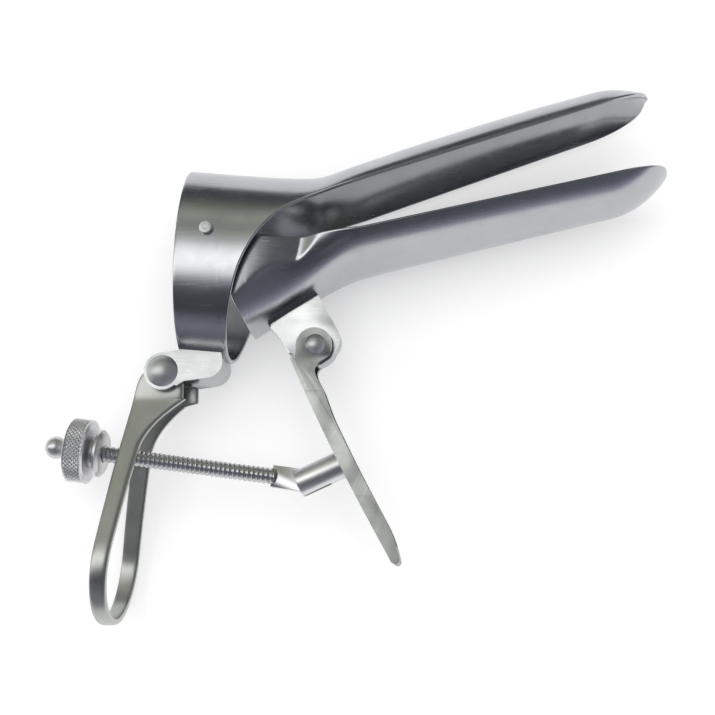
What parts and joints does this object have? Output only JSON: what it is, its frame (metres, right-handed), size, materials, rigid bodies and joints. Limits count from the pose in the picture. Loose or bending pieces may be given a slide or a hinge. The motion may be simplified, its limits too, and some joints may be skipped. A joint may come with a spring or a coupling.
{
  "type": "bivalve speculum",
  "caption": "Steel bivalve speculum: flared collar, two hinged trough blades, folding loop and lever handles, and a swinging set screw with a knurled thumb nut.",
  "frame": {"origin": "on the axis of the two valve rivets, at the flat end of the far rivet head, which is at the height of the table the instrument lies on", "axes": "+X from the open mouth of the collar towards the blade tips, +Y from the handles towards the crown of the collar, +Z along the rivet axis, up from the table"},
  "size_m": [0.1832, 0.1543, 0.043],
  "materials": {
    "sheet_steel": "lengthways brushed",
    "forged_steel": "polished",
    "strip_steel": "satin",
    "rivet_steel": "polished",
    "turned_steel": "turned and polished",
    "screw_steel": "cut thread",
    "knurled_steel": "diamond knurl"
  },
  "bodies": {
    "outer_valve_body": {"outer_valve": "sheet_steel", "outer_bracket": "forged_steel", "valve_rivet_near": "rivet_steel", "valve_rivet_far": "rivet_steel", "loop_pin": "rivet_steel"},
    "inner_valve_body": {"inner_valve": "sheet_steel", "inner_bracket": "forged_steel", "lever_pin": "rivet_steel"},
    "loop_handle_body": {"loop_handle": "strip_steel"},
    "lever_body": {"lever_handle": "forged_steel", "screw_boss": "turned_steel", "boss_pin": "rivet_steel"},
    "screw_body": {"screw_rod": "screw_steel", "end_ball": "turned_steel"},
    "collar_body": {"thrust_collar": "turned_steel"},
    "nut_body": {"thumb_nut": "knurled_steel"}
  },
  "joints": [
    {"name": "valve_pivot", "type": "hinge", "parent": "outer_valve_body", "child": "inner_valve_body", "pos_m": [0, 0, 0.0215], "axis": [0, 0, -1], "range_deg": [-0.5, 25]},
    {"name": "loop_fold", "type": "hinge", "parent": "outer_valve_body", "child": "loop_handle_body", "pos_m": [-0.015, -0.0386, 0.0215], "axis": [0, 0, -1], "range_deg": [-2, 4]},
    {"name": "lever_fold", "type": "hinge", "parent": "inner_valve_body", "child": "lever_body", "pos_m": [0.0294, -0.0313, 0.0215], "axis": [0, 0, 1], "range_deg": [-1, 3]},
    {"name": "screw_swing", "type": "hinge", "parent": "lever_body", "child": "screw_body", "pos_m": [0.0264, -0.0704, 0.0215], "axis": [0, 0, -1], "range_deg": [-6, 6]},
    {"name": "nut_travel", "type": "slide", "parent": "screw_body", "child": "collar_body", "axis": [0.9893, -0.1461, 0], "range_m": [-0.0008, 0.0292]},
    {"name": "nut_spin", "type": "hinge", "parent": "collar_body", "child": "nut_body", "pos_m": [-0.03988, -0.06061, 0.0215], "axis": [0.9893, -0.1461, 0], "continuous": true}
  ],
  "couplings": [
    {"joint": "nut_travel", "follows": "valve_pivot", "m_per_rad": 0.066}
  ]
}
